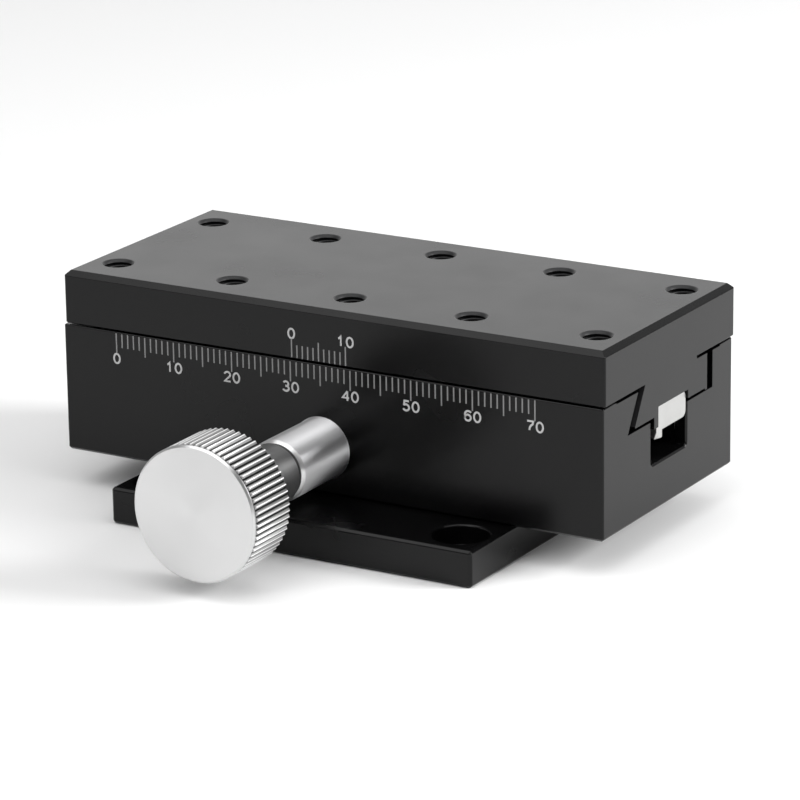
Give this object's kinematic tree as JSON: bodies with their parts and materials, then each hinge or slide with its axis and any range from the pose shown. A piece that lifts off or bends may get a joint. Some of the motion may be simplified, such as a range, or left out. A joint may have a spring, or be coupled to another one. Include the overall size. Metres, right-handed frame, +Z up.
{
  "type": "dovetail slide",
  "caption": "Manual linear slide: a table on a dovetail way with a gib, moved along a millimetre scale by a knurled knob through a rack and pinion.",
  "frame": {"origin": "on the bottom plate's underside, below the middle of the base block", "axes": "+X along the table's travel, -Y towards the knob, +Z up out of the table's top"},
  "size_m": [0.0903, 0.0857, 0.0331],
  "materials": {
    "black_anodised": "satin black anodised",
    "turned_aluminium": "fine turned, satin",
    "polished_steel": "polished along its turning",
    "bright_steel": "ground bright steel",
    "black_steel": "black oxide",
    "bronze": "plain bearing bronze",
    "black_nylon": "black nylon"
  },
  "bodies": {
    "base": {"base_block": "black_anodised", "bottom_plate": "black_anodised", "gib": "black_anodised", "gib_screw_1": "black_steel", "gib_screw_2": "black_steel", "gib_screw_3": "black_steel", "gib_screw_4": "black_steel", "plate_screw_1": "black_steel", "plate_screw_2": "black_steel", "plate_screw_3": "black_steel", "plate_screw_4": "black_steel", "pinion_sleeve": "polished_steel", "sleeve_screw": "black_steel", "front_washer": "bronze", "rear_washer": "bronze", "rear_bush": "bronze", "stop_pin": "bright_steel"},
    "table": {"table_plate": "black_anodised", "rack": "bright_steel", "rack_screw_1": "black_steel", "rack_screw_2": "black_steel"},
    "knob": {"knob": "turned_aluminium", "knob_screw": "black_steel", "friction_washer": "black_nylon", "pinion_shaft": "bright_steel", "pinion": "bright_steel"}
  },
  "joints": [
    {"name": "table_slide", "type": "slide", "parent": "base", "child": "table", "axis": [1, 0, 0], "range_m": [-0.0353, 0.0347]},
    {"name": "knob_turn", "type": "hinge", "parent": "base", "child": "knob", "pos_m": [-0.0007, 0, 0.0124], "axis": [0, 1, 0], "range_deg": [-508, 499]}
  ],
  "couplings": [
    {"joint": "knob_turn", "follows": "table_slide", "rad_per_m": 250.58}
  ]
}
